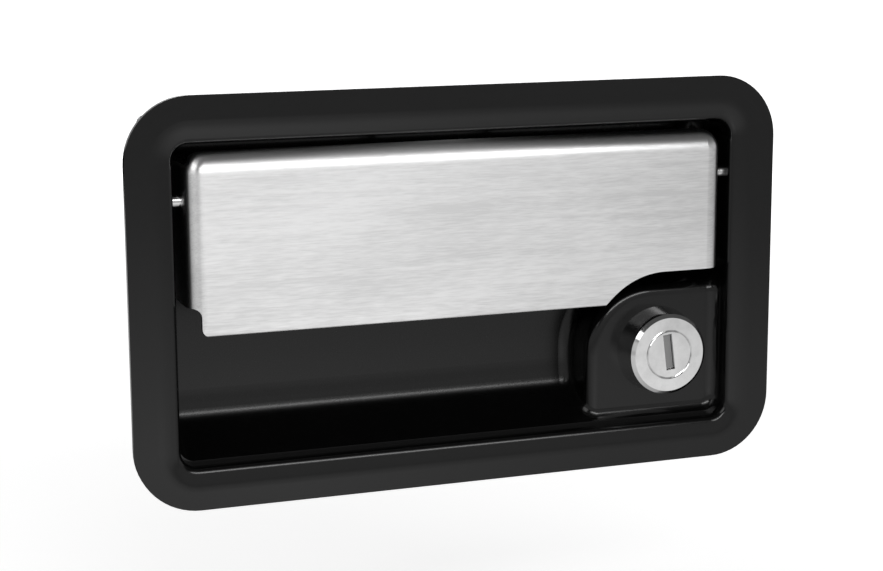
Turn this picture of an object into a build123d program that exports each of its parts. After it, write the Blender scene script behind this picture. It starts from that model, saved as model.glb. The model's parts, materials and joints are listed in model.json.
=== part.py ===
"""Flush paddle latch with a key lock: a drawn pan, a hinged paddle, a spring bolt and a cylinder lock.

Millimetres. X runs to the right seen from outside, Y runs into the door and Z runs up. Y = 0 is
the face of the gasket that meets the door panel, so the pan's flange stands at negative Y.
"""

from math import cos, pi, radians, sin, tan
import os

from build123d import *

os.makedirs("parts", exist_ok=True)

# Fits and gaps
RUNNING = 0.05  # radial clearance of what turns
SLIDING = 0.3  # clearance of what slides
FREE = 0.6  # air beside what only passes by
CUT = 1.0  # how far a cutting shape runs on past what it cuts

# Pan: flange, recess and the platform that carries the lock
FLANGE_W = 171.45
FLANGE_H = 101.6
FLANGE_R = 16.25
SHEET = 1.5
GASKET_T = 1.5
FLANGE_SIDE_WIDTH = 11.925
FLANGE_TOP_WIDTH = 11.8
FLANGE_BOTTOM_WIDTH = 10.5
RECESS_DEPTH = 20.0
RECESS_SIDE_R = 4.0
RECESS_TOP_R = 5.0
LOWER_WALL_START = 3.8
LOWER_WALL_RISE = 7.8
LOWER_WALL_R = 4.8
FLOOR_BAND_H = 5.5
FLOOR_BAND_DEPTH = 1.0
FLOOR_BAND_R = 20.0
LEAD_IN = 4.2
LEAD_IN_DEPTH = 1.2
LEAD_IN_R = 12.0
RIM_R = 2.0
PLATFORM_W = 37.5
PLATFORM_H = 35.9
PLATFORM_R = 17.7
PLATFORM_DEPTH = 7.0
PLATFORM_EDGE_R = 3.0
PLATFORM_FILLET = 3.0

# Studs that hold the flange to the door panel, and the gasket between them
STUD_R = 2.0
STUD_LENGTH = 11.0
STUD_FROM_SIDE = 7.2
STUD_FROM_END = 7.3
STUD_CHAMFER = 0.5
COLLAR_R = 2.4
COLLAR_GAP = 0.15
GASKET_INSET = 0.5
GASKET_GAP = 0.2

# Paddle: how it stands in the recess, its folds, its lip and the notch over the lock platform
PADDLE_LEFT_GAP = 2.45
PADDLE_RIGHT_GAP = 2.95
PADDLE_TOP_GAP = 2.2
PADDLE_REAR_GAP = 5.0
PADDLE_PROUD = 1.0
PADDLE_T = 1.2
PADDLE_SIDE_R = 4.5
PADDLE_TOP_R = 5.0
PADDLE_TOP_DEPTH = 6.0
FLANGE_TOP_DROP = 3.4
RELIEF_R = 2.4
RELIEF_OUT = 0.55
RELIEF_DROP = 1.2
OVER_PLATFORM = 3.9
LIP_H = 7.0
LIP_INSET = 3.15
LIP_R = 2.0
LIP_ROOT_R = 2.2
LIP_EDGE_R = 0.5
CURL_H = 3.2
CURL_R = 14.0
NOTCH_OFFSET = 0.4
NOTCH_OVER_PLATFORM = 4.9
NOTCH_GAP = 3.5
NOTCH_CORNER_R = 1.0

# Pivot pin and its two retaining rings
PIN_R = 1.6
PIN_Y = 2.35
PIN_BELOW_TOP = 11.8
PIN_END = 2.4
PIN_CHAMFER = 0.4
RING_T = 0.8
RING_R = 2.5
RING_MOUTH = 2.0
GROOVE_DEPTH = 0.4
STAKE_GROOVE_W = 0.5
STAKE_GROOVE_DEPTH = 0.25
STAKE_GROOVE_GAP = 0.6

# Bracket welded behind the paddle, whose two arms drive the slide
BRACKET_T = 2.0
BRACKET_W = 34.0
BRACKET_BELOW_PIN = 15.0
BRACKET_ABOVE_PIN = 6.5
ARM_PAST_FLOOR = 7.85
ARM_R = 3.5
PADDLE_SWING = 30.0  # degrees

# Housing welded on the back of the pan
HOUSING_T = 1.5
HOUSING_W = 54.0
HOUSING_DEPTH = 16.0
HOUSING_ABOVE_PIN = 10.1
HOUSING_BEND_R = 0.5
FOOT_W = 8.0
FOOT_BELOW_TOP = 2.1
FOOT_LENGTH = 58.0
FOOT_R = 2.0
WINDOW_W = 24.0
WINDOW_BELOW_TOP = 9.1
WINDOW_LENGTH = 42.0
WINDOW_R = 3.0

# Slide plate, with an ear under each arm and a seat for the springs
SLIDE_T = 1.5
SLIDE_GAP = 0.5
EAR_W = 9.5
EAR_DEPTH = 11.0
SEAT_DEPTH = 12.0

# Spring bolt, its cross pin and the springs
BOLT_W = 16.0
BOLT_T = 9.4
BOLT_BELOW_PIN = 10.7
BOLT_THROW = 12.5
BOLT_RAMP_H = 12.0
BOLT_NOSE_T = 2.0
TAIL_R = 2.4
TAIL_LENGTH = 27.5
CROSS_PIN_R = 2.0
CROSS_PIN_LENGTH = 27.0
SPRING_WIRE = 1.0
SPRING_SIDES = 5
SPRING_TURNS = 6
SPRING_STEPS = 9
BOLT_SPRING_R = 4.0
BOLT_SPRING_LENGTH = 24.5
SLIDE_SPRING_R = 3.6
SLIDE_SPRING_LENGTH = 26.5
SLIDE_SPRING_X = 16.5
SPRING_END_GAP = 0.05

# Lock body with its washer and nut
LOCK_FROM_SIDE = 17.5
LOCK_FROM_BOTTOM = 18.4
BEZEL_R = 11.5
BEZEL_FACE_R = 10.6
BEZEL_HEIGHT = 7.5
BEZEL_CHAMFER = 0.8
BARREL_R = 9.4
BARREL_FLATS = 16.8
BARREL_LENGTH = 20.0
NUT_ACROSS = 24.0
NUT_T = 3.5
LOCK_WASHER_R = 12.0
LOCK_WASHER_T = 1.0

# Lock plug, the wafers in it and the flap that keeps dust out of the key slot
PLUG_R = 6.3
PLUG_CHAMFER = 0.25
KEYWAY_L = 9.6
KEYWAY_W = 2.5
KEYWAY_RAISE = 0.65
KEYWAY_DEPTH = 17.0
KEYWAY_TILT = 7.0  # degrees
TAIL_SQUARE = 6.0
WAFER_T = 0.9
WAFER_W = 5.0
WAFER_L = 11.2
WAFER_WINDOW_W = 2.6
WAFER_WINDOW_L = 8.8
WAFER_START = 6.0
WAFER_PITCH = 2.2
WAFER_COUNT = 5
WAFER_PLAY = 0.05
SHUTTER_T = 0.5
SHUTTER_PLAY = 0.1
SHUTTER_PIN_R = 0.4
SHUTTER_PIN_GRIP = 0.35
SHUTTER_PIN_BEHIND = 1.2
SHUTTER_PIN_ASIDE = 1.6
KNUCKLE_R = 0.75

# Cam on the end of the plug, held by a washer and a screw
CAM_T = 2.0
CAM_R = 6.5
CAM_TIP_R = 4.0
CAM_GAP = 0.5
CAM_WASHER_R = 5.0
CAM_WASHER_T = 0.8
CAM_SCREW_R = 2.0
CAM_SCREW_HEAD_R = 3.8
CAM_SCREW_HEAD_T = 2.2
CAM_SCREW_LENGTH = 8.0
SOCKET_ACROSS = 3.0
SOCKET_DEPTH = 1.3

# Pan planes and edges worked out from the sizes above
FLANGE_BACK = -GASKET_T
FLANGE_FRONT = FLANGE_BACK - SHEET
FLOOR_FRONT = FLANGE_FRONT + RECESS_DEPTH
FLOOR_BACK = FLOOR_FRONT + SHEET
BEHIND_ALL = FLOOR_BACK + 2 * RECESS_DEPTH
HALF_RECESS = FLANGE_W / 2 - FLANGE_SIDE_WIDTH
RECESS_W = 2 * HALF_RECESS
RECESS_TOP = FLANGE_H / 2 - FLANGE_TOP_WIDTH
RECESS_BOTTOM = FLANGE_BOTTOM_WIDTH - FLANGE_H / 2
RECESS_MID_Z = (RECESS_TOP + RECESS_BOTTOM) / 2
RECESS_H = RECESS_TOP - RECESS_BOTTOM
MOUTH_Y = FLANGE_FRONT + LEAD_IN_DEPTH
PLATFORM_FACE = FLANGE_FRONT + PLATFORM_DEPTH
PLATFORM_BACK = PLATFORM_FACE + SHEET
PLATFORM_LEFT = HALF_RECESS - PLATFORM_W
PLATFORM_TOP = RECESS_BOTTOM + PLATFORM_H
STUD_X = FLANGE_W / 2 - STUD_FROM_SIDE
STUD_Z = FLANGE_H / 2 - STUD_FROM_END

# Paddle, pin and bracket
PADDLE_LEFT = PADDLE_LEFT_GAP - HALF_RECESS
PADDLE_RIGHT = HALF_RECESS - PADDLE_RIGHT_GAP
PADDLE_TOP = RECESS_TOP - PADDLE_TOP_GAP
PADDLE_FACE = FLANGE_FRONT - PADDLE_PROUD
PADDLE_BACK = PADDLE_FACE + PADDLE_T
PADDLE_REAR = FLOOR_FRONT - PADDLE_REAR_GAP
PADDLE_BOTTOM = PLATFORM_TOP + OVER_PLATFORM
LIP_BOTTOM = PADDLE_BOTTOM - LIP_H
LIP_LEFT = PADDLE_LEFT + LIP_INSET
NOTCH_X = PLATFORM_LEFT + PLATFORM_R + NOTCH_OFFSET
NOTCH_TOP = PLATFORM_TOP + NOTCH_OVER_PLATFORM
NOTCH_R = PLATFORM_R + NOTCH_GAP
PIN_Z = PADDLE_TOP - PIN_BELOW_TOP
PIN_HALF = HALF_RECESS + SHEET + PIN_END
RING_X = HALF_RECESS + SHEET + RUNNING
ARM_OUTER = BRACKET_W / 2
ARM_INNER = ARM_OUTER - BRACKET_T
BRACKET_BOTTOM = PIN_Z - BRACKET_BELOW_PIN
BRACKET_TOP = PIN_Z + BRACKET_ABOVE_PIN
NOSE_Y = FLOOR_BACK + ARM_PAST_FLOOR

# Slide, bolt and housing
SLIDE_FRONT = FLOOR_BACK + SLIDE_GAP
SLIDE_BACK = SLIDE_FRONT + SLIDE_T
SLIDE_HALF = HOUSING_W / 2 - HOUSING_T - SLIDING
EAR_TOP = PIN_Z - ARM_R - SLIDING
EAR_BOTTOM = EAR_TOP - SLIDE_T
CROSS_PIN_Z = EAR_BOTTOM - CROSS_PIN_R
BOLT_FRONT = SLIDE_BACK + SLIDING
BOLT_BACK = BOLT_FRONT + BOLT_T
BOLT_Y = (BOLT_FRONT + BOLT_BACK) / 2
BOLT_BOTTOM = CROSS_PIN_Z - BOLT_BELOW_PIN
SEAT_Z = BOLT_BOTTOM - BOLT_SPRING_LENGTH
SEAT_BOTTOM = SEAT_Z - SLIDE_T
SPRING_FLOOR = SEAT_BOTTOM - SLIDE_SPRING_LENGTH
HOUSING_TOP = PIN_Z + HOUSING_ABOVE_PIN
HOUSING_BOTTOM = SPRING_FLOOR - HOUSING_T
HOUSING_BACK = FLOOR_BACK + HOUSING_DEPTH
HOUSING_INSIDE = HOUSING_BACK - HOUSING_T
BOLT_TIP = HOUSING_TOP + BOLT_THROW
FOOT_TOP = HOUSING_TOP - FOOT_BELOW_TOP
WINDOW_TOP = HOUSING_TOP - WINDOW_BELOW_TOP

# Lock
LOCK_X = HALF_RECESS - LOCK_FROM_SIDE
LOCK_Z = RECESS_BOTTOM + LOCK_FROM_BOTTOM
BEZEL_FACE = PLATFORM_FACE - BEZEL_HEIGHT
BARREL_END = PLATFORM_FACE + BARREL_LENGTH
CAM_FRONT = BARREL_END + SLIDING
CAM_BACK = CAM_FRONT + CAM_T
CAM_REACH = LOCK_X - SLIDE_HALF - CAM_GAP
KEYWAY_LOW = KEYWAY_RAISE - KEYWAY_L / 2
KEYWAY_HIGH = KEYWAY_RAISE + KEYWAY_L / 2
SHUTTER_PIN_Y = BEZEL_FACE + SHUTTER_PIN_BEHIND


def slab(outline, y0, y1):
    """An outline drawn in X and Z, made solid from y0 to y1."""
    return extrude(Plane.XZ.offset(-y0) * outline, amount=y0 - y1)


def side_slab(outline, x0, x1):
    """An outline drawn in Y and Z, made solid from x0 to x1."""
    return extrude(Plane.YZ.offset(x0) * outline, amount=x1 - x0)


def block(x0, x1, y0, y1, z0, z1):
    """A box given by its lowest and highest corners."""
    return Pos((x0 + x1) / 2, (y0 + y1) / 2, (z0 + z1) / 2) * Box(x1 - x0, y1 - y0, z1 - z0)


def rod_x(radius, x0, x1, y, z):
    """A round bar along X."""
    return Pos((x0 + x1) / 2, y, z) * Rot(0, 90, 0) * Cylinder(radius, x1 - x0)


def rod_y(radius, y0, y1, x, z):
    """A round bar along Y."""
    return Pos(x, (y0 + y1) / 2, z) * Rot(90, 0, 0) * Cylinder(radius, y1 - y0)


def rod_z(radius, z0, z1, x, y):
    """A round bar along Z."""
    return Pos(x, y, (z0 + z1) / 2) * Cylinder(radius, z1 - z0)


def cone_y(radius0, radius1, y0, y1, x, z):
    """A taper along Y, from radius0 at y0 to radius1 at y1."""
    return Pos(x, (y0 + y1) / 2, z) * Rot(-90, 0, 0) * Cone(radius0, radius1, y1 - y0)


def rounded(width, height, radius, x=0, z=0):
    """A rectangle with round corners, drawn in X and Z."""
    return Pos(x, z) * RectangleRounded(width, height, radius)


def both_sides(piece):
    """A piece and its mirror image across X = 0."""
    return [piece, mirror(piece, Plane.YZ)]


def save(node, *solids):
    """Writes one node; several solids stay separate."""
    flat = [solid for piece in solids for solid in piece.solids()]
    export_step(flat[0] if len(flat) == 1 else Compound(children=flat), f"parts/{node}.step")


# Pan


def nearest_vertex(face, y, z):
    """The corner of a Y-Z outline nearest to a point."""
    return min(face.vertices(), key=lambda v: (v.X - y) ** 2 + (v.Y - z) ** 2)


def cavity(grow):
    """The hand recess without the platform, grown outward by the given amount."""
    before = FLANGE_FRONT - RECESS_DEPTH
    lower_wall_top = RECESS_BOTTOM + LOWER_WALL_RISE
    corners = [
        (before, RECESS_TOP),
        (FLOOR_FRONT, RECESS_TOP),
        (FLOOR_FRONT, lower_wall_top + FLOOR_BAND_H),
        (FLOOR_FRONT - FLOOR_BAND_DEPTH, lower_wall_top),
        (FLANGE_FRONT + LOWER_WALL_START, RECESS_BOTTOM),
        (before, RECESS_BOTTOM),
    ]
    radii = (RECESS_TOP_R, FLOOR_BAND_R, LOWER_WALL_R, LOWER_WALL_R)
    outline = make_face(Polyline(*corners, close=True))
    if grow:
        outline = offset(outline, grow, kind=Kind.INTERSECTION)
    for (y, z), radius in zip(corners[1:5], radii):
        outline = fillet(nearest_vertex(outline, y, z), radius + grow)
    half = HALF_RECESS + grow
    solid = side_slab(outline, -half, half)
    side_edges = [
        edge
        for edge in solid.edges()
        if abs(edge.center().X) > half - 0.01 and edge.center().Y > before + 0.01
    ]
    return fillet(side_edges, RECESS_SIDE_R + grow)


def platform(shrink):
    """The block that lifts the lock toward the front, shrunk by the given amount."""
    left = PLATFORM_LEFT + shrink
    top = PLATFORM_TOP - shrink
    radius = PLATFORM_R - shrink
    right = FLANGE_W / 2
    bottom = -FLANGE_H / 2
    face = PLATFORM_FACE + shrink
    outline = make_face(
        [
            Line((left, bottom), (left, top - radius)),
            RadiusArc((left, top - radius), (left + radius, top), radius),
            Line((left + radius, top), (right, top)),
            Line((right, top), (right, bottom)),
            Line((right, bottom), (left, bottom)),
        ]
    )
    solid = slab(outline, face, FLOOR_BACK + RECESS_DEPTH)
    front_edges = [
        edge
        for edge in solid.edges()
        if edge.bounding_box().max.Y < face + 0.01
        and edge.center().X < right - 0.01
        and edge.center().Z > bottom + 0.01
    ]
    return fillet(front_edges, PLATFORM_EDGE_R - shrink)


def edge_key(edge):
    """What tells one edge from another."""
    middle = edge.center()
    return tuple(round(value, 2) for value in (middle.X, middle.Y, middle.Z, edge.length))


def recess():
    """The space in front of the pan's visible surface, with the fillets round the platform."""
    wall = platform(0)
    left, top = wall.bounding_box().min.X, wall.bounding_box().max.Z
    space = cavity(0) - wall
    on_platform = [
        face
        for face in space.faces()
        if face.bounding_box().min.X > left - 0.01
        and face.bounding_box().max.Z < top + 0.01
        and face.bounding_box().min.Y > PLATFORM_FACE - 0.01
    ]
    elsewhere = [face for face in space.faces() if face not in on_platform]
    platform_keys = {edge_key(edge) for face in on_platform for edge in face.edges()}
    other_keys = {edge_key(edge) for face in elsewhere for edge in face.edges()}
    shared = [edge for edge in space.edges() if edge_key(edge) in platform_keys & other_keys]
    return fillet(shared, PLATFORM_FILLET)


def sloped_back():
    """The back of the slope that leads from the flange into the recess, as a filled block."""
    wide_r = RECESS_SIDE_R + LEAD_IN
    wide = rounded(RECESS_W + 2 * LEAD_IN, RECESS_H + 2 * LEAD_IN, wide_r, z=RECESS_MID_Z)
    narrow = rounded(RECESS_W, RECESS_H, RECESS_SIDE_R, z=RECESS_MID_Z)
    narrow_back = -FLANGE_BACK - LEAD_IN_DEPTH
    return loft([Plane.XZ.offset(-FLANGE_BACK) * wide, Plane.XZ.offset(narrow_back) * narrow])


def lead_in():
    """The space in front of the slope into the recess, rounded at the flange and at the rim."""
    before, behind = FLANGE_FRONT - CUT, MOUTH_Y + 2 * RIM_R
    outer = 2 * LEAD_IN
    section = make_face(
        Polyline(
            (-CUT, before),
            (outer, before),
            (outer, FLANGE_FRONT),
            (LEAD_IN, FLANGE_FRONT),
            (0, MOUTH_Y),
            (0, behind),
            (-CUT, behind),
            close=True,
        )
    )
    section = fillet(nearest_vertex(section, LEAD_IN, FLANGE_FRONT), LEAD_IN_R)
    section = fillet(nearest_vertex(section, 0, MOUTH_Y), RIM_R)
    rim = (Plane.XZ * rounded(RECESS_W, RECESS_H, RECESS_SIDE_R, z=RECESS_MID_Z)).wire()
    along = rim % 0
    start = Plane(rim @ 0, x_dir=Vector(0, 1, 0).cross(along), z_dir=along)
    return sweep(start * section, path=rim)


def make_pan():
    """The drawn dish with its flange, slots and holes."""
    flange = slab(rounded(FLANGE_W, FLANGE_H, FLANGE_R), FLANGE_FRONT, FLANGE_BACK)
    behind_flange = block(
        -FLANGE_W, FLANGE_W, FLANGE_FRONT, FLOOR_BACK + RECESS_DEPTH, -FLANGE_H, FLANGE_H
    )
    shell = (cavity(SHEET) - platform(SHEET)) & behind_flange
    pan = flange + shell + sloped_back() - recess() - lead_in()
    slot_drop = (FLOOR_BACK - PIN_Y) * tan(radians(PADDLE_SWING)) + ARM_R / cos(radians(PADDLE_SWING))
    slot = block(
        ARM_INNER - FREE,
        ARM_OUTER + FREE,
        FLOOR_FRONT - SHEET,
        FLOOR_BACK + SHEET,
        PIN_Z - slot_drop - FREE,
        PIN_Z + ARM_R + SLIDING,
    )
    for cut in both_sides(slot):
        pan -= cut
    pan -= rod_x(PIN_R + RUNNING, -FLANGE_W / 2, FLANGE_W / 2, PIN_Y, PIN_Z)
    return pan - barrel_shape(RUNNING, PLATFORM_FACE - SHEET, PLATFORM_BACK + SHEET)


def corner_places():
    """The four stud places on the flange."""
    return [(x, z) for x in (-STUD_X, STUD_X) for z in (-STUD_Z, STUD_Z)]


def make_studs():
    """Weld studs standing on the back of the flange, each with the collar that is welded."""
    stud = rod_y(STUD_R, FLANGE_BACK, FLANGE_BACK + STUD_LENGTH, 0, 0)
    stud = chamfer(stud.edges().group_by(Axis.Y)[-1], STUD_CHAMFER)
    stud += rod_y(COLLAR_R, FLANGE_BACK, 0, 0, 0)
    return [Pos(x, 0, z) * stud for x, z in corner_places()]


def make_gasket():
    """The rubber ring between the flange and the door panel."""
    outer = rounded(FLANGE_W - 2 * GASKET_INSET, FLANGE_H - 2 * GASKET_INSET, FLANGE_R - GASKET_INSET)
    reach = LEAD_IN + GASKET_GAP
    inner = rounded(RECESS_W + 2 * reach, RECESS_H + 2 * reach, RECESS_SIDE_R + reach, z=RECESS_MID_Z)
    ring = slab(outer, FLANGE_BACK, 0) - slab(inner, FLANGE_BACK - GASKET_T, GASKET_T)
    for x, z in corner_places():
        ring -= rod_y(COLLAR_R + COLLAR_GAP, FLANGE_BACK - GASKET_T, GASKET_T, x, z)
    return ring


# Paddle, pivot and bracket


def front_side_edges(solid):
    """The two upright edges at the front of a box."""
    return solid.edges().filter_by(Axis.Z).group_by(Axis.Y)[0]


def front_top_edges(solid):
    """The edges at the front of a box's top, with the round ends that its side bends leave."""
    top = solid.edges().group_by(Axis.Z)[-1]
    rear = solid.bounding_box().max.Y
    return [e for e in top if e.bounding_box().max.Y < rear - 0.01]


def rolled_profile(inset):
    """The paddle from the side as one filled shape, its lower edge gently rolled in."""
    front, rear = PADDLE_FACE + inset, PADDLE_REAR + inset
    top = PADDLE_TOP - inset
    bottom = LIP_BOTTOM + CURL_H - CURL_R + inset
    profile = make_face(Polyline((front, bottom), (rear, bottom), (rear, top), (front, top), close=True))
    return fillet(nearest_vertex(profile, front, bottom), CURL_R - inset)


def folded_plate(inset, profile):
    """The paddle with its side and top folds as one block, shrunk by an inset."""
    left, right = PADDLE_LEFT + inset, PADDLE_RIGHT - inset
    front, rear = PADDLE_FACE + inset, PADDLE_REAR + inset
    plate = block(left, right, front, rear, LIP_BOTTOM - CURL_R, PADDLE_TOP - inset)
    plate = fillet(front_side_edges(plate), PADDLE_SIDE_R - inset)
    plate = fillet(front_top_edges(plate), PADDLE_TOP_R - inset)
    return plate & side_slab(profile, left, right)


def paddle_outline():
    """The paddle seen from the front: its lip, the notch over the lock and the relief at each bend."""
    outline = make_face(
        Polyline(
            (LIP_LEFT, LIP_BOTTOM),
            (NOTCH_X, LIP_BOTTOM),
            (NOTCH_X, NOTCH_TOP),
            (PADDLE_RIGHT + CUT, NOTCH_TOP),
            (PADDLE_RIGHT + CUT, PADDLE_TOP + CUT),
            (PADDLE_LEFT - CUT, PADDLE_TOP + CUT),
            (PADDLE_LEFT - CUT, PADDLE_BOTTOM),
            (LIP_LEFT, PADDLE_BOTTOM),
            close=True,
        )
    )
    outline = fillet(nearest_vertex(outline, LIP_LEFT, LIP_BOTTOM), LIP_R)
    outline = fillet(nearest_vertex(outline, LIP_LEFT, PADDLE_BOTTOM), LIP_ROOT_R)
    outline = outline - Pos(NOTCH_X, NOTCH_TOP - NOTCH_R) * Circle(NOTCH_R)
    notch_corner = [v for v in outline.vertices() if v.Y < LIP_BOTTOM + 0.01 and v.X > 0]
    outline = fillet(notch_corner, NOTCH_CORNER_R)
    for side in (PADDLE_LEFT - RELIEF_OUT, PADDLE_RIGHT + RELIEF_OUT):
        outline -= Pos(side, PADDLE_TOP - RELIEF_DROP) * Circle(RELIEF_R)
    return outline


def make_paddle():
    """The folded pull plate."""
    rear = PADDLE_REAR + PADDLE_T
    top_rear = PADDLE_FACE + PADDLE_TOP_DEPTH
    flange_top = PADDLE_TOP - FLANGE_TOP_DROP
    below_lip = Pos(PADDLE_REAR, LIP_BOTTOM - CURL_R) * Rectangle(4 * PADDLE_REAR, 2 * CURL_R)
    outside = rolled_profile(0) - below_lip
    outside = fillet(nearest_vertex(outside, PADDLE_FACE, LIP_BOTTOM), LIP_EDGE_R)
    paddle = folded_plate(0, outside) - folded_plate(PADDLE_T, rolled_profile(PADDLE_T))
    paddle -= block(PADDLE_LEFT, PADDLE_RIGHT, top_rear, rear, flange_top, PADDLE_TOP)
    paddle &= slab(paddle_outline(), PADDLE_FACE - CUT, rear)
    return paddle - rod_x(PIN_R + RUNNING, -FLANGE_W / 2, FLANGE_W / 2, PIN_Y, PIN_Z)


def pin_groove(x, width, depth):
    """A ring-shaped cut round the pivot pin, from x outward."""
    return rod_x(RING_R, x, x + width, PIN_Y, PIN_Z) - rod_x(PIN_R - depth, x, x + width, PIN_Y, PIN_Z)


def make_pin():
    """The pivot pin, with a groove for each ring and a shallow one beside each end of the paddle."""
    pin = rod_x(PIN_R, -PIN_HALF, PIN_HALF, PIN_Y, PIN_Z)
    pin = chamfer(pin.edges().filter_by(GeomType.CIRCLE), PIN_CHAMFER)
    ring_groove = pin_groove(RING_X, RING_T + RUNNING, GROOVE_DEPTH)
    stake_groove = pin_groove(PADDLE_RIGHT + STAKE_GROOVE_GAP, STAKE_GROOVE_W, STAKE_GROOVE_DEPTH)
    for cut in both_sides(ring_groove) + both_sides(stake_groove):
        pin -= cut
    return pin


def make_rings():
    """A retaining ring at each end of the pivot pin."""
    ring = rod_x(RING_R, RING_X, RING_X + RING_T, PIN_Y, PIN_Z)
    ring -= rod_x(PIN_R - GROOVE_DEPTH + RUNNING, 0, FLANGE_W, PIN_Y, PIN_Z)
    half = RING_MOUTH / 2
    ring -= block(0, FLANGE_W, PIN_Y - half, PIN_Y + half, PIN_Z - 2 * RING_R, PIN_Z)
    return both_sides(ring)


def make_bracket():
    """The channel behind the paddle with its two arms."""
    web_back = PADDLE_BACK + BRACKET_T
    shoulder = PIN_Y + PIN_R + BRACKET_T
    web = block(-ARM_OUTER, ARM_OUTER, PADDLE_BACK, web_back, BRACKET_BOTTOM, BRACKET_TOP)
    side = make_face(
        Polyline(
            (PADDLE_BACK, BRACKET_BOTTOM),
            (web_back, BRACKET_BOTTOM),
            (shoulder, PIN_Z - ARM_R),
            (NOSE_Y, PIN_Z - ARM_R),
            (NOSE_Y, PIN_Z + ARM_R),
            (shoulder, PIN_Z + ARM_R),
            (web_back, BRACKET_TOP),
            (PADDLE_BACK, BRACKET_TOP),
            close=True,
        )
    )
    side += Pos(NOSE_Y, PIN_Z) * Circle(ARM_R)
    side -= Pos(PIN_Y, PIN_Z) * Circle(PIN_R + RUNNING)
    bracket = web
    for arm in both_sides(side_slab(side, ARM_INNER, ARM_OUTER)):
        bracket += arm
    return bracket


# Housing, slide and bolt


def bolt_outline(gap):
    """The bolt's section in X and Y, widened by a gap."""
    return Pos(0, BOLT_Y) * Rectangle(BOLT_W + 2 * gap, BOLT_T + 2 * gap)


def make_housing():
    """The folded channel that guides the slide and the bolt."""
    half = HOUSING_W / 2
    inside = half - HOUSING_T
    housing = block(-half, half, FLOOR_BACK, HOUSING_BACK, HOUSING_BOTTOM, HOUSING_TOP)
    back_edges = housing.edges().filter_by(Axis.Z).group_by(Axis.Y)[-1]
    housing = fillet(back_edges, HOUSING_BEND_R + HOUSING_T)
    hollow = block(
        -inside,
        inside,
        FLOOR_BACK - HOUSING_T,
        HOUSING_INSIDE,
        HOUSING_BOTTOM + HOUSING_T,
        HOUSING_TOP - HOUSING_T,
    )
    hollow_edges = hollow.edges().filter_by(Axis.Z).group_by(Axis.Y)[-1]
    housing -= fillet(hollow_edges, HOUSING_BEND_R)
    foot_back = FLOOR_BACK + HOUSING_T
    foot = block(half, half + FOOT_W, FLOOR_BACK, foot_back, FOOT_TOP - FOOT_LENGTH, FOOT_TOP)
    foot = fillet(foot.edges().filter_by(Axis.Y).group_by(Axis.X)[-1], FOOT_R)
    for side in both_sides(foot):
        housing += side
    bolt_hole = Plane.XY.offset(HOUSING_TOP - 2 * HOUSING_T) * bolt_outline(SLIDING)
    housing -= extrude(bolt_hole, 3 * HOUSING_T)
    window = rounded(WINDOW_W, WINDOW_LENGTH, WINDOW_R, z=WINDOW_TOP - WINDOW_LENGTH / 2)
    housing -= slab(window, HOUSING_INSIDE - HOUSING_T, HOUSING_BACK + HOUSING_T)
    return housing - rod_y(CAM_REACH + FREE, CAM_FRONT - FREE, CAM_BACK + FREE, LOCK_X, LOCK_Z)


def make_slide():
    """The plate that the arms push down, taking the bolt with it."""
    plate = block(-SLIDE_HALF, SLIDE_HALF, SLIDE_FRONT, SLIDE_BACK, SEAT_BOTTOM, EAR_TOP)
    seat_back = SLIDE_FRONT + SEAT_DEPTH
    seat = block(-SLIDE_HALF, SLIDE_HALF, SLIDE_FRONT, seat_back, SEAT_BOTTOM, SEAT_Z)
    seat -= rod_z(TAIL_R + SLIDING, SEAT_BOTTOM - CUT, SEAT_Z + CUT, 0, BOLT_Y)
    ear_outer = ARM_OUTER + FREE
    ear = block(ear_outer - EAR_W, ear_outer, SLIDE_FRONT, SLIDE_FRONT + EAR_DEPTH, EAR_BOTTOM, EAR_TOP)
    slide = plate + seat
    for side in both_sides(ear):
        slide += side
    return slide


def make_bolt():
    """The spring bolt: a square shank, a closing ramp on its inner side and a guide tail."""
    shank = extrude(Plane.XY.offset(BOLT_BOTTOM) * bolt_outline(0), BOLT_TIP - BOLT_BOTTOM)
    ramp = make_face(
        Polyline(
            (BOLT_FRONT + BOLT_NOSE_T, BOLT_TIP),
            (BOLT_BACK, BOLT_TIP - BOLT_RAMP_H),
            (BOLT_BACK, BOLT_TIP),
            close=True,
        )
    )
    bolt = shank - side_slab(ramp, -BOLT_W, BOLT_W)
    tip_edges = bolt.edges().filter_by(Axis.X).group_by(Axis.Z)[-1]
    bolt = fillet(tip_edges, BOLT_NOSE_T / 3)
    bolt += rod_z(TAIL_R, BOLT_BOTTOM - TAIL_LENGTH, BOLT_BOTTOM + CUT, 0, BOLT_Y)
    return bolt - rod_x(CROSS_PIN_R + RUNNING, -BOLT_W, BOLT_W, BOLT_Y, CROSS_PIN_Z)


def make_cross_pin():
    """The pin through the bolt that the slide's ears pull on."""
    half = CROSS_PIN_LENGTH / 2
    pin = rod_x(CROSS_PIN_R, -half, half, BOLT_Y, CROSS_PIN_Z)
    return chamfer(pin.edges().filter_by(GeomType.CIRCLE), PIN_CHAMFER)


def coil(radius, z0, z1, x):
    """A compression spring standing between two heights, its wire in short straight runs."""
    low = z0 + SPRING_WIRE / 2 + SPRING_END_GAP
    rise = z1 - z0 - SPRING_WIRE - 2 * SPRING_END_GAP
    count = SPRING_TURNS * SPRING_STEPS
    turn = 2 * pi / SPRING_STEPS
    points = [
        (x + radius * cos(turn * step), BOLT_Y + radius * sin(turn * step), low + rise * step / count)
        for step in range(count + 1)
    ]
    path = Polyline(*points)
    wire = Plane(path @ 0, z_dir=path % 0) * RegularPolygon(SPRING_WIRE / 2, SPRING_SIDES)
    return sweep(wire, path=path, transition=Transition.RIGHT)


# Lock


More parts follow.
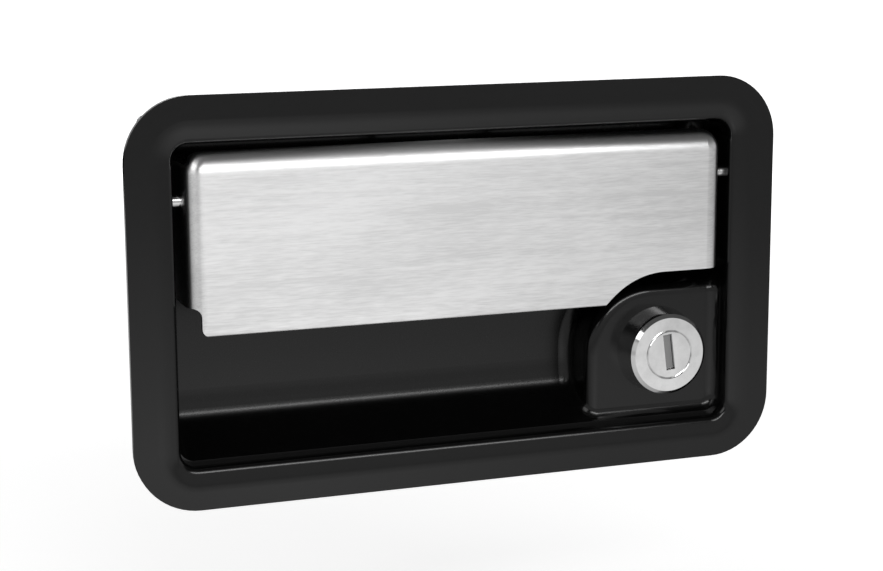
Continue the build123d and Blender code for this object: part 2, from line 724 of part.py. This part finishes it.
def barrel_shape(gap, y0, y1):
    """The barrel with its two flats, widened by a gap."""
    half = BARREL_FLATS / 2 + gap
    flats = block(LOCK_X - half, LOCK_X + half, y0, y1, LOCK_Z - FLANGE_H, LOCK_Z + FLANGE_H)
    return rod_y(BARREL_R + gap, y0, y1, LOCK_X, LOCK_Z) & flats


def make_lock_housing():
    """The tapered bezel and the barrel behind it, bored for the plug."""
    bezel = cone_y(BEZEL_FACE_R, BEZEL_R, BEZEL_FACE, PLATFORM_FACE, LOCK_X, LOCK_Z)
    bezel = chamfer(bezel.edges().group_by(Axis.Y)[0], BEZEL_CHAMFER)
    body = bezel + barrel_shape(0, PLATFORM_FACE, BARREL_END)
    body -= rod_y(PLUG_R + RUNNING, BEZEL_FACE - CUT, BARREL_END + CUT, LOCK_X, LOCK_Z)
    bore_edge = body.edges().filter_by(GeomType.CIRCLE).group_by(Axis.Y)[0].sort_by(SortBy.RADIUS)[0]
    return chamfer(bore_edge, PLUG_CHAMFER)


def make_lock_washer():
    """The flat washer behind the platform."""
    washer = rod_y(LOCK_WASHER_R, PLATFORM_BACK, PLATFORM_BACK + LOCK_WASHER_T, LOCK_X, LOCK_Z)
    return washer - barrel_shape(SLIDING, PLATFORM_FACE, BARREL_END)


def make_lock_nut():
    """The thin hexagon nut that clamps the lock to the platform."""
    front = PLATFORM_BACK + LOCK_WASHER_T
    hexagon = Pos(LOCK_X, LOCK_Z) * RegularPolygon(NUT_ACROSS / 2, 6, major_radius=False)
    nut = slab(hexagon, front, front + NUT_T)
    return nut - rod_y(BARREL_R + RUNNING, front - CUT, front + NUT_T + CUT, LOCK_X, LOCK_Z)


def on_keyway(piece):
    """Tilts a piece drawn upright about the lock's axis, like the key slot."""
    return Pos(LOCK_X, 0, LOCK_Z) * Rot(0, -KEYWAY_TILT, 0) * piece


def wafer_fronts():
    """Where each wafer starts along the plug."""
    return [BEZEL_FACE + WAFER_START + number * WAFER_PITCH for number in range(WAFER_COUNT)]


def make_plug():
    """The turning plug with its key slot, its wafer slots and the pocket for the flap."""
    plug = rod_y(PLUG_R, BEZEL_FACE, BARREL_END, 0, 0)
    plug = chamfer(plug.edges().filter_by(GeomType.CIRCLE).group_by(Axis.Y)[0], PLUG_CHAMFER)
    half_w = KEYWAY_W / 2
    keyway_end = BEZEL_FACE + KEYWAY_DEPTH
    plug -= block(-half_w, half_w, BEZEL_FACE - CUT, keyway_end, KEYWAY_LOW, KEYWAY_HIGH)
    for front in wafer_fronts():
        play = WAFER_PLAY
        half = WAFER_W / 2 + play
        plug -= block(-half, half, front - play, front + WAFER_T + play, -PLUG_R, PLUG_R)
    knuckle = KNUCKLE_R + SHUTTER_PLAY
    flap = SHUTTER_PIN_ASIDE + half_w + SHUTTER_PLAY
    plug -= block(
        -SHUTTER_PIN_ASIDE - knuckle,
        -half_w + SHUTTER_PLAY,
        SHUTTER_PIN_Y - knuckle,
        SHUTTER_PIN_Y + flap,
        KEYWAY_LOW,
        KEYWAY_HIGH,
    )
    pin_low = KEYWAY_LOW - SHUTTER_PIN_GRIP - SHUTTER_PLAY
    pin_high = KEYWAY_HIGH + SHUTTER_PIN_GRIP + SHUTTER_PLAY
    plug -= rod_z(SHUTTER_PIN_R + RUNNING, pin_low, pin_high, -SHUTTER_PIN_ASIDE, SHUTTER_PIN_Y)
    square = TAIL_SQUARE / 2
    plug += block(-square, square, BARREL_END, CAM_BACK, -square, square)
    plug -= rod_y(CAM_SCREW_R + RUNNING, CAM_BACK - CAM_SCREW_LENGTH, CAM_BACK + CUT, 0, 0)
    return on_keyway(plug)


def make_shutter():
    """The flap behind the key slot."""
    low, high = KEYWAY_LOW + SHUTTER_PLAY, KEYWAY_HIGH - SHUTTER_PLAY
    half_t = SHUTTER_T / 2
    right = KEYWAY_W / 2 - SHUTTER_PLAY
    flap = block(-SHUTTER_PIN_ASIDE, right, SHUTTER_PIN_Y - half_t, SHUTTER_PIN_Y + half_t, low, high)
    flap += rod_z(KNUCKLE_R, low, high, -SHUTTER_PIN_ASIDE, SHUTTER_PIN_Y)
    flap -= rod_z(SHUTTER_PIN_R + RUNNING, -KEYWAY_L, KEYWAY_L, -SHUTTER_PIN_ASIDE, SHUTTER_PIN_Y)
    return on_keyway(flap)


def make_shutter_pin():
    """The pin that the flap turns on."""
    low, high = KEYWAY_LOW - SHUTTER_PIN_GRIP, KEYWAY_HIGH + SHUTTER_PIN_GRIP
    return on_keyway(rod_z(SHUTTER_PIN_R, low, high, -SHUTTER_PIN_ASIDE, SHUTTER_PIN_Y))


def make_wafers():
    """The wafers that the key lifts, each a plate with a window."""
    outline = Rectangle(WAFER_W, WAFER_L) - Rectangle(WAFER_WINDOW_W, WAFER_WINDOW_L)
    return [on_keyway(slab(outline, front, front + WAFER_T)) for front in wafer_fronts()]


def make_cam():
    """The arm on the plug's square end, standing up at rest."""
    tip_z = CAM_REACH - CAM_TIP_R
    outline = make_hull((Circle(CAM_R) + Pos(0, tip_z) * Circle(CAM_TIP_R)).edges())
    hole = TAIL_SQUARE + 2 * RUNNING
    cam = slab(outline, CAM_FRONT, CAM_BACK)
    square = Rot(0, -KEYWAY_TILT, 0) * slab(Rectangle(hole, hole), CAM_FRONT - CUT, CAM_BACK + CUT)
    return Pos(LOCK_X, 0, LOCK_Z) * (cam - square)


def make_cam_washer():
    """The washer between the cam and its screw."""
    washer = rod_y(CAM_WASHER_R, CAM_BACK, CAM_BACK + CAM_WASHER_T, LOCK_X, LOCK_Z)
    return washer - rod_y(CAM_SCREW_R + SLIDING, CAM_FRONT, BEHIND_ALL, LOCK_X, LOCK_Z)


def make_cam_screw():
    """The socket screw in the end of the plug."""
    head_front = CAM_BACK + CAM_WASHER_T
    head_back = head_front + CAM_SCREW_HEAD_T
    shank_end = head_front - CAM_SCREW_LENGTH + SLIDING
    head = rod_y(CAM_SCREW_HEAD_R, head_front, head_back, LOCK_X, LOCK_Z)
    head = chamfer(head.edges().group_by(Axis.Y)[-1], CAM_SCREW_HEAD_T / 6)
    socket = Pos(LOCK_X, LOCK_Z) * RegularPolygon(SOCKET_ACROSS / 2, 6, major_radius=False)
    head -= slab(socket, head_back - SOCKET_DEPTH, head_back + CUT)
    return head + rod_y(CAM_SCREW_R, shank_end, head_front, LOCK_X, LOCK_Z)


save("pan", make_pan())
save("mounting_studs", *make_studs())
save("gasket", make_gasket())
save("paddle", make_paddle())
save("pivot_pin", make_pin())
save("pin_rings", *make_rings())
save("paddle_bracket", make_bracket())
save("latch_housing", make_housing())
save("slide_plate", make_slide())
save("bolt", make_bolt())
save("cross_pin", make_cross_pin())
save("bolt_spring", coil(BOLT_SPRING_R, SEAT_Z, BOLT_BOTTOM, 0))
spring_places = (-SLIDE_SPRING_X, SLIDE_SPRING_X)
save("slide_springs", *[coil(SLIDE_SPRING_R, SPRING_FLOOR, SEAT_BOTTOM, x) for x in spring_places])
save("lock_housing", make_lock_housing())
save("lock_washer", make_lock_washer())
save("lock_nut", make_lock_nut())
save("lock_plug", make_plug())
save("dust_shutter", make_shutter())
save("shutter_pin", make_shutter_pin())
save("tumbler_wafers", *make_wafers())
save("lock_cam", make_cam())
save("cam_washer", make_cam_washer())
save("cam_screw", make_cam_screw())
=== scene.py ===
from math import ceil, cos, pi, radians, sin
import json

import bpy
from mathutils import Matrix, Vector


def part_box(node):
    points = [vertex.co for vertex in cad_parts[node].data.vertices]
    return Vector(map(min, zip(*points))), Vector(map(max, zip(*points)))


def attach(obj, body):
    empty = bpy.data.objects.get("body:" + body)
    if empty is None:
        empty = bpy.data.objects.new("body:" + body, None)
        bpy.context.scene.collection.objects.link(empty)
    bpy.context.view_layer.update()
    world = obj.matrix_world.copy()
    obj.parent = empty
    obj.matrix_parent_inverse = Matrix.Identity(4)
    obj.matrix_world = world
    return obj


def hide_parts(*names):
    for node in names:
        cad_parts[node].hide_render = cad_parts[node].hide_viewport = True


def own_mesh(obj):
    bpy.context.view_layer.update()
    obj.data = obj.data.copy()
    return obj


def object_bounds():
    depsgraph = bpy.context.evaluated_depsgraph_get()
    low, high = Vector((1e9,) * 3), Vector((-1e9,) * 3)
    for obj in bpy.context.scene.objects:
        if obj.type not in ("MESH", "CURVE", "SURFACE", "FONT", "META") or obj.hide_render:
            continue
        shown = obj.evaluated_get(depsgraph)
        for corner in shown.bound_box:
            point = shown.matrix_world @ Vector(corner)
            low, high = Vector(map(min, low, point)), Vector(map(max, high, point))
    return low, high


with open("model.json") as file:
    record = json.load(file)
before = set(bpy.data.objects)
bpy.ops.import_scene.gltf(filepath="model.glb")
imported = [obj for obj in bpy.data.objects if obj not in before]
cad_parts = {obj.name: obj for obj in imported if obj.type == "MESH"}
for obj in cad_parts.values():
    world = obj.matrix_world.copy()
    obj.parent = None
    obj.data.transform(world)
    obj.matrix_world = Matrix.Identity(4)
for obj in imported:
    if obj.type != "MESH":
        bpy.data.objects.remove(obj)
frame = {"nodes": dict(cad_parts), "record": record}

cad_bounds = [list(corner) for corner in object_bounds()]
nodes = frame["nodes"]
MM = 0.001


# Shader building blocks


def new_material(name):
    """A node material, its tree and the shader in it."""
    material = bpy.data.materials.new(name)
    material.use_nodes = True
    tree = material.node_tree
    shader = tree.nodes["Principled BSDF"]
    return material, tree, shader


def coordinates(tree, scale=(1, 1, 1), shift=(0, 0, 0)):
    """Object coordinates, scaled and then shifted."""
    source = tree.nodes.new("ShaderNodeTexCoord")
    mapping = tree.nodes.new("ShaderNodeMapping")
    mapping.inputs["Scale"].default_value = scale
    mapping.inputs["Location"].default_value = shift
    tree.links.new(source.outputs["Object"], mapping.inputs["Vector"])
    return mapping.outputs["Vector"]


def axis(tree, vector, letter):
    """One coordinate of a vector."""
    node = tree.nodes.new("ShaderNodeSeparateXYZ")
    tree.links.new(vector, node.inputs["Vector"])
    return node.outputs[letter]


def noise(tree, vector, scale, detail=5.0, roughness=0.6):
    """A noise texture's value."""
    texture = tree.nodes.new("ShaderNodeTexNoise")
    texture.inputs["Scale"].default_value = scale
    texture.inputs["Detail"].default_value = detail
    texture.inputs["Roughness"].default_value = roughness
    tree.links.new(vector, texture.inputs["Vector"])
    return texture.outputs["Fac"]


def remap(tree, value, low, high, start=0.3, end=0.7):
    """A value between start and end carried to low to high."""
    node = tree.nodes.new("ShaderNodeMapRange")
    node.inputs["From Min"].default_value = start
    node.inputs["From Max"].default_value = end
    node.inputs["To Min"].default_value = low
    node.inputs["To Max"].default_value = high
    tree.links.new(value, node.inputs["Value"])
    return node.outputs["Result"]


def combine(tree, operation, first, second):
    """A sum, difference or product of two values; either may be a plain number."""
    node = tree.nodes.new("ShaderNodeMath")
    node.operation = operation
    for socket, value in zip(node.inputs, (first, second)):
        if isinstance(value, (int, float)):
            socket.default_value = value
        else:
            tree.links.new(value, socket)
    return node.outputs["Value"]


def added(tree, first, second):
    """The sum of two values."""
    return combine(tree, "ADD", first, second)


def times(tree, first, second):
    """The product of two values."""
    return combine(tree, "MULTIPLY", first, second)


def opposite(tree, value):
    """One minus a value."""
    return combine(tree, "SUBTRACT", 1, value)


def curve(tree, value, points):
    """A value carried through straight stretches between (value, result) points, from 0 to 1."""
    node = tree.nodes.new("ShaderNodeFloatCurve")
    line = node.mapping.curves[0]
    for place, result in points[1:-1]:
        line.points.new(place, result)
    for point, (place, result) in zip(line.points, points):
        point.location = (place, result)
        point.handle_type = "VECTOR"
    node.mapping.update()
    tree.links.new(value, node.inputs["Value"])
    return node.outputs["Value"]


def two_colours(tree, value, dark, light, start=0.3, end=0.7):
    """A colour between two, chosen by a value between start and end."""
    ramp = tree.nodes.new("ShaderNodeValToRGB")
    ramp.color_ramp.elements[0].position = start
    ramp.color_ramp.elements[0].color = (*dark, 1)
    ramp.color_ramp.elements[1].position = end
    ramp.color_ramp.elements[1].color = (*light, 1)
    tree.links.new(value, ramp.inputs["Fac"])
    return ramp.outputs["Color"]


def bump(tree, shader, value, strength, distance):
    """Raises the surface by a value."""
    node = tree.nodes.new("ShaderNodeBump")
    node.inputs["Strength"].default_value = strength
    node.inputs["Distance"].default_value = distance
    tree.links.new(value, node.inputs["Height"])
    tree.links.new(node.outputs["Normal"], shader.inputs["Normal"])


def grey(value):
    """A neutral colour."""
    return (value, value, value)


# Finishes


def surface(name, dark, light, metallic, rough, grain, stretch=(1, 1, 1), raise_by=0.0):
    """A finish with its colour, roughness and relief all following one grain."""
    material, tree, shader = new_material(name)
    value = noise(tree, coordinates(tree, stretch), grain)
    shader.inputs["Metallic"].default_value = metallic
    tree.links.new(two_colours(tree, value, dark, light), shader.inputs["Base Color"])
    tree.links.new(remap(tree, value, *rough), shader.inputs["Roughness"])
    if raise_by:
        bump(tree, shader, value, 0.5, raise_by)
    return material


def brushed_stainless():
    """Sheet brushed along X: long fine strokes over a slow, uneven cloud."""
    grain_share = 0.6
    span = (0.41, 0.59)
    material, tree, shader = new_material("brushed_stainless")
    strokes = noise(tree, coordinates(tree, (1, 30, 30)), 22, 5.0, 0.7)
    hairlines = noise(tree, coordinates(tree, (1, 12, 12)), 260, 2.0, 0.5)
    clouds = noise(tree, coordinates(tree, (1, 3, 3)), 24, 4.0, 0.65)
    grain = times(tree, added(tree, strokes, hairlines), 0.5)
    mottle = added(tree, times(tree, grain, grain_share), times(tree, clouds, 1 - grain_share))
    tree.links.new(two_colours(tree, mottle, grey(0.7), grey(0.9), *span), shader.inputs["Base Color"])
    tree.links.new(remap(tree, mottle, 0.37, 0.31, *span), shader.inputs["Roughness"])
    shader.inputs["Metallic"].default_value = 1.0
    shader.inputs["Anisotropic"].default_value = 0.75
    shader.inputs["Anisotropic Rotation"].default_value = 0.25
    bump(tree, shader, strokes, 0.1, 1e-6)
    return material


def black_coat():
    """Glossy black coat, duller on the floor of the recess than on the flange."""
    glossy_until, dull_from = 6 * MM, 16 * MM
    material, tree, shader = new_material("black_coat")
    grain = noise(tree, coordinates(tree), 900)
    depth = axis(tree, coordinates(tree), "Y")
    dull = remap(tree, depth, 0.15, 0.25, glossy_until, dull_from)
    tree.links.new(two_colours(tree, grain, grey(0.0015), grey(0.0025)), shader.inputs["Base Color"])
    tree.links.new(added(tree, dull, times(tree, grain, 0.04)), shader.inputs["Roughness"])
    shader.inputs["Specular IOR Level"].default_value = 0.38
    bump(tree, shader, grain, 0.5, 1e-6)
    return material


MATERIALS = {
    "black_steel": black_coat(),
    "brushed_stainless": brushed_stainless(),
    "bright_nickel": surface("bright_nickel", grey(0.64), grey(0.82), 1, (0.12, 0.05), 160),
    "zinc_steel": surface("zinc_plate", (0.5, 0.51, 0.53), (0.6, 0.61, 0.62), 1, (0.3, 0.45), 80),
    "bolt_steel": surface("bolt_steel", grey(0.5), grey(0.56), 1, (0.3, 0.38), 150, (4, 1, 1)),
    "pin_steel": surface("pin_steel", grey(0.55), grey(0.65), 1, (0.15, 0.25), 300, (1, 10, 10)),
    "spring_steel": surface("spring_wire", grey(0.3), grey(0.38), 1, (0.25, 0.4), 300),
    "shutter_steel": surface("shutter_strip", grey(0.3), grey(0.34), 1, (0.45, 0.55), 400),
    "screw_steel": surface("black_oxide", grey(0.03), grey(0.05), 0.6, (0.35, 0.5), 400),
    "wafer_brass": surface("wafer_brass", (0.62, 0.46, 0.2), (0.7, 0.53, 0.26), 1, (0.3, 0.4), 300),
    "gasket_rubber": surface("gasket_rubber", grey(0.02), grey(0.03), 0, (0.7, 0.85), 600, raise_by=2e-5),
}
slot_of = {part["node"]: part["material_slot"] for part in frame["record"]["subparts"]}
for node, obj in nodes.items():
    obj.data.materials.clear()
    obj.data.materials.append(MATERIALS[slot_of[node]])


# Pieces that CAD keeps plain


def piece(name, vertices, faces, slot, body):
    """A smooth mesh that rides on a body and takes a slot's finish."""
    mesh = bpy.data.meshes.new(name)
    mesh.from_pydata(vertices, [], faces)
    mesh.materials.append(MATERIALS[slot])
    mesh.polygons.foreach_set("use_smooth", [True] * len(mesh.polygons))
    mesh.update()
    obj = bpy.data.objects.new(name, mesh)
    bpy.context.collection.objects.link(obj)
    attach(obj, body)
    return obj


def skin(rings, corners):
    """Faces from each ring of corners to the next, with a lid on the first and the last."""
    faces = []
    for ring in range(rings - 1):
        low = ring * corners
        high = low + corners
        for corner in range(corners):
            beside = (corner + 1) % corners
            faces.append((low + corner, low + beside, high + beside, high + corner))
    faces.append(tuple(reversed(range(corners))))
    faces.append(tuple(range((rings - 1) * corners, rings * corners)))
    return faces


# Springs: round wire with a closed turn at each end

SPRING_WIRE_R = 0.5 * MM
WIRE_CORNERS = 12
COIL_STEPS = 36
ACTIVE_TURNS = 6
CLOSED_TURNS = 1
CLOSED_RISE = 2.1 * SPRING_WIRE_R


def tube(path, radius, corners):
    """Vertices and faces of a round wire along a path, closed at both ends."""
    vertices = []
    last = len(path) - 1
    for step, point in enumerate(path):
        along = (path[min(step + 1, last)] - path[max(step - 1, 0)]).normalized()
        side = along.cross(Vector((0, 0, 1))).normalized()
        top = side.cross(along)
        for corner in range(corners):
            angle = 2 * pi * corner / corners
            vertices.append(point + (side * cos(angle) + top * sin(angle)) * radius)
    return vertices, skin(len(path), corners)


def coil_path(x, y, radius, low, high):
    """A compression spring's centre line, its first and last turn lying closed."""
    turns = ACTIVE_TURNS + 2 * CLOSED_TURNS
    open_height = high - low - 2 * SPRING_WIRE_R - 2 * CLOSED_TURNS * CLOSED_RISE
    open_rise = open_height / ACTIVE_TURNS
    path = []
    for step in range(turns * COIL_STEPS + 1):
        turn = step / COIL_STEPS
        first = min(turn, CLOSED_TURNS)
        last = max(turn - CLOSED_TURNS - ACTIVE_TURNS, 0)
        rise = (first + last) * CLOSED_RISE + (turn - first - last) * open_rise
        angle = 2 * pi * turn
        place = (x + radius * cos(angle), y + radius * sin(angle), low + SPRING_WIRE_R + rise)
        path.append(Vector(place))
    return path


def spring(name, node, side, body):
    """A coil at the left (-1), middle (0) or right (1) of a CAD spring, riding on a body."""
    low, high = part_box(node)
    outer = (high.y - low.y) / 2
    x = (low.x + high.x) / 2 + side * ((high.x - low.x) / 2 - outer)
    path = coil_path(x, (low.y + high.y) / 2, outer - SPRING_WIRE_R, low.z, high.z)
    obj = piece(name, *tube(path, SPRING_WIRE_R, WIRE_CORNERS), "spring_steel", body)
    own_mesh(obj)
    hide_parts(node)


for side, name in ((-1, "slide_spring_left"), (1, "slide_spring_right")):
    spring(name, "slide_springs", side, "pan")
spring("bolt_spring_coil", "bolt_spring", 0, "slide")


# Threads

ROWS_PER_TURN = 8
FLANK_SLOPE = 2.4
SHARP_EDGE = radians(50)


def threaded(start, end, radius, depth, pitch):
    """Rows of a thread between two places along Y, its first and last turn fading out."""
    rows = ceil((end - start) / pitch * ROWS_PER_TURN)
    places = [start + (end - start) * row / rows for row in range(rows + 1)]
    return [(y, radius, depth * min(1.0, (y - start) / pitch, (end - y) / pitch)) for y in places]


def turned(name, slot, centre, rows, pitch, corners, limit):
    """A piece turned about Y from rows of (place, radius, depth of the thread), no wider than a limit."""
    vertices = []
    for y, radius, depth in rows:
        for corner in range(corners):
            angle = 2 * pi * corner / corners
            phase = (y / pitch + corner / corners) % 1.0
            flank = max(0.0, 1.0 - abs(phase - 0.5) * FLANK_SLOPE)
            reach = radius - depth * (1 - flank)
            across = max(-limit, min(limit, reach * cos(angle)))
            vertices.append((centre[0] + across, y, centre[1] + reach * sin(angle)))
    obj = piece(name, vertices, skin(len(rows), corners), slot, "pan")
    obj.data.set_sharp_from_angle(angle=SHARP_EDGE)
    return obj


# Studs: a collar behind the flange, an M4 thread and a plain pilot tip

STUD_R = 2.0 * MM
STUD_PITCH = 0.7 * MM
STUD_DEPTH = 0.4 * MM
COLLAR_R = 2.4 * MM
COLLAR_T = 1.5 * MM
PILOT_R = 1.5 * MM
PILOT_LENGTH = 2.6 * MM
PILOT_CHAMFER = 0.5 * MM
STUD_CORNERS = 24


def studs():
    """The four studs, one near each corner of the flange."""
    low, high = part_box("mounting_studs")
    collar_end = low.y + COLLAR_T
    shoulder = high.y - PILOT_LENGTH
    rows = [(low.y, COLLAR_R, 0), (collar_end, COLLAR_R, 0), (collar_end, STUD_R, 0)]
    rows += threaded(collar_end, shoulder, STUD_R, STUD_DEPTH, STUD_PITCH)
    rows += [
        (shoulder + STUD_R - PILOT_R, PILOT_R, 0),
        (high.y - PILOT_CHAMFER, PILOT_R, 0),
        (high.y, PILOT_R - PILOT_CHAMFER, 0),
    ]
    for side, side_name in ((-1, "left"), (1, "right")):
        for level, level_name in ((-1, "lower"), (1, "upper")):
            name = f"stud_{level_name}_{side_name}"
            centre = (side * (high.x - COLLAR_R), level * (high.z - COLLAR_R))
            stud = turned(name, "zinc_steel", centre, rows, STUD_PITCH, STUD_CORNERS, COLLAR_R)
            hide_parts("mounting_studs")


studs()


# Thread on the lock barrel behind its nut, cut off just inside the barrel's two flats

BARREL_R = 9.4 * MM
BARREL_FLAT = 8.38 * MM
BARREL_PITCH = 1.0 * MM
BARREL_CREST = 0.35 * MM
BARREL_DEPTH = 1.1 * BARREL_CREST
BARREL_CORNERS = 72
THREAD_GAP = 0.3 * MM


def barrel_thread():
    """The thread from behind the nut nearly to the barrel's end, closed by a full disc at each end.

    The discs cross the barrel's bore too, and with it the plug and the cam's screw.
    """
    low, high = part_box("lock_housing")
    nut_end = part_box("lock_nut")[1].y
    centre = ((low.x + high.x) / 2, (low.z + high.z) / 2)
    start, end = nut_end + THREAD_GAP, high.y - THREAD_GAP
    rows = threaded(start, end, BARREL_R + BARREL_CREST, BARREL_DEPTH, BARREL_PITCH)
    slot = slot_of["lock_housing"]
    turned("barrel_thread", slot, centre, rows, BARREL_PITCH, BARREL_CORNERS, BARREL_FLAT)


barrel_thread()


# Floor: pale for the camera. For mirrors it glows with painted pools of light in place of a lit floor: a
# bright painted pool in front of the object, which fades outward and toward the back, and a small one
# behind. A patch is given by its centre and its reach in X and Y.

FLOOR_Z = cad_bounds[0][2] - 0.06
FLOOR_SIZE = 24
FLOOR_COLOUR = 0.8
PAINTED_POOL_BRIGHTEST = 1.4
FADE_START = -0.25
FADE_END = 0.2
FRONT_PAINTED_POOL = ((0, -0.2), (1.0, 1.5))
BEHIND_PAINTED_POOL = ((0, 0.6), (1.0, 0.4))
SEEN_PATCH = ((0, 0.1), (1.2, 1.2))
FRONT_POOL_FALLOFF = [(0, 0.36), (0.35, 0.36), (0.53, 0.4), (0.75, 0.57), (0.87, 0.68), (0.93, 0.8), (1, 1)]
BEHIND_POOL_FALLOFF = [(0, 0), (0.3, 0.6), (1, 1)]
SEEN_FALLOFF = [(0, 1), (0.3, 0.95), (0.6, 0.7), (1, 0.6)]


def patch(tree, centre, reach):
    """One at the middle of an oval patch of the floor, falling to zero at its edge."""
    scale = (1 / reach[0], 1 / reach[1], 1)
    shift = (-centre[0] / reach[0], -centre[1] / reach[1], 0)
    gradient = tree.nodes.new("ShaderNodeTexGradient")
    gradient.gradient_type = "SPHERICAL"
    tree.links.new(coordinates(tree, scale, shift), gradient.inputs["Vector"])
    return gradient.outputs["Fac"]


def floor_pale_with_painted_pools():
    """A matt floor whose brightness is set by place, one way for the camera and another for mirrors,
    which see painted pools of light glowing on it.
    """
    material, tree, shader = new_material("floor_pale_with_painted_pools")
    rays = tree.nodes.new("ShaderNodeLightPath")
    glossy = rays.outputs["Is Glossy Ray"]
    # Painted light: glowing pools in front of and behind the object, seen only by mirrors.
    painted_pool_in_front = curve(tree, patch(tree, *FRONT_PAINTED_POOL), FRONT_POOL_FALLOFF)
    painted_pool_in_front = times(tree, painted_pool_in_front, PAINTED_POOL_BRIGHTEST)
    fade = remap(tree, axis(tree, coordinates(tree), "Y"), 1, 0, FADE_START, FADE_END)
    painted_pool_in_front = times(tree, painted_pool_in_front, fade)
    behind = curve(tree, patch(tree, *BEHIND_PAINTED_POOL), BEHIND_POOL_FALLOFF)
    mirrored = times(tree, added(tree, painted_pool_in_front, behind), glossy)
    seen = curve(tree, patch(tree, *SEEN_PATCH), SEEN_FALLOFF)
    seen = times(tree, seen, rays.outputs["Is Camera Ray"])
    tree.links.new(times(tree, opposite(tree, glossy), FLOOR_COLOUR), shader.inputs["Base Color"])
    tree.links.new(added(tree, seen, mirrored), shader.inputs["Emission Strength"])
    shader.inputs["Emission Color"].default_value = (1, 1, 1, 1)
    shader.inputs["Roughness"].default_value = 1.0
    shader.inputs["Specular IOR Level"].default_value = 0.0
    return material


bpy.ops.mesh.primitive_plane_add(size=FLOOR_SIZE, location=(0, 0, FLOOR_Z))
floor = bpy.context.object
floor.name = "floor"
floor.data.materials.append(floor_pale_with_painted_pools())


# Lamps


def light(name, azimuth, elevation, distance, size, radiance):
    """A soft rectangular lamp that faces the object, its strength the brightness of its face.

    Azimuth is measured in degrees from straight in front toward the right, elevation from level.
    """
    lamp = bpy.data.lights.new(name, "AREA")
    lamp.shape = "RECTANGLE"
    lamp.size, lamp.size_y = size
    lamp.energy = radiance * size[0] * size[1] * pi
    holder = bpy.data.objects.new(name, lamp)
    bpy.context.collection.objects.link(holder)
    turn, rise = radians(azimuth), radians(elevation)
    place = Vector((sin(turn) * cos(rise), -cos(turn) * cos(rise), sin(rise))) * distance
    holder.location = place
    holder.rotation_euler = (-place).to_track_quat("-Z", "Y").to_euler()


light("softbox", azimuth=6, elevation=33, distance=1.0, size=(0.81, 0.46), radiance=1.0)
light("key", azimuth=5, elevation=30, distance=0.98, size=(0.78, 0.13), radiance=8.0)
light("left_strip", azimuth=-60, elevation=39, distance=1.0, size=(0.5, 0.6), radiance=2.0)
light("back_light", azimuth=160, elevation=5, distance=1.2, size=(0.8, 0.3), radiance=2.0)


# World: white for the camera, an even level for diffuse light, a band at the horizon for mirrors

WORLD_DIFFUSE = 0.3
BAND_LEVEL = 0.62
ABOVE_BAND = 0.08
BAND_TOP = radians(15)
FADED = radians(24)


def studio():
    """The world, whose strength depends on the kind of ray and, for mirrors, on its height."""
    world = bpy.data.worlds.new("studio")
    world.use_nodes = True
    tree = world.node_tree
    rays = tree.nodes.new("ShaderNodeLightPath")
    glossy = rays.outputs["Is Glossy Ray"]
    height = axis(tree, tree.nodes.new("ShaderNodeTexCoord").outputs["Generated"], "Z")
    band = remap(tree, height, BAND_LEVEL, ABOVE_BAND, sin(BAND_TOP), sin(FADED))
    mirrored = times(tree, band, glossy)
    others = times(tree, opposite(tree, glossy), WORLD_DIFFUSE)
    white = times(tree, rays.outputs["Is Camera Ray"], 1 - WORLD_DIFFUSE)
    background = tree.nodes["Background"]
    background.inputs["Color"].default_value = (1, 1, 1, 1)
    tree.links.new(added(tree, added(tree, mirrored, others), white), background.inputs["Strength"])
    return world


scene = bpy.context.scene
scene.world = studio()
scene.view_settings.view_transform = "Standard"


# Camera: placed to match the photograph

CAMERA_PLACE = (-0.16965, -0.45806, 0.09440)
CAMERA_YAW = radians(19.67)
CAMERA_PITCH = radians(10.95)
CAMERA_ROLL = radians(-0.275)
CAMERA_LENS = 80.25
CAMERA_SENSOR = 36

level = Vector((cos(CAMERA_YAW), -sin(CAMERA_YAW), 0))
ahead = Vector((sin(CAMERA_YAW), cos(CAMERA_YAW), 0))
forward = ahead * cos(CAMERA_PITCH) - Vector((0, 0, sin(CAMERA_PITCH)))
upright = level.cross(forward)
right = level * cos(CAMERA_ROLL) + upright * sin(CAMERA_ROLL)
up = upright * cos(CAMERA_ROLL) - level * sin(CAMERA_ROLL)
camera_data = bpy.data.cameras.new("camera")
camera_data.lens = CAMERA_LENS
camera_data.sensor_width = CAMERA_SENSOR
camera = bpy.data.objects.new("camera", camera_data)
bpy.context.collection.objects.link(camera)
turn = Matrix((right, up, -forward)).transposed()
camera.matrix_world = Matrix.Translation(CAMERA_PLACE) @ turn.to_4x4()
scene.camera = camera
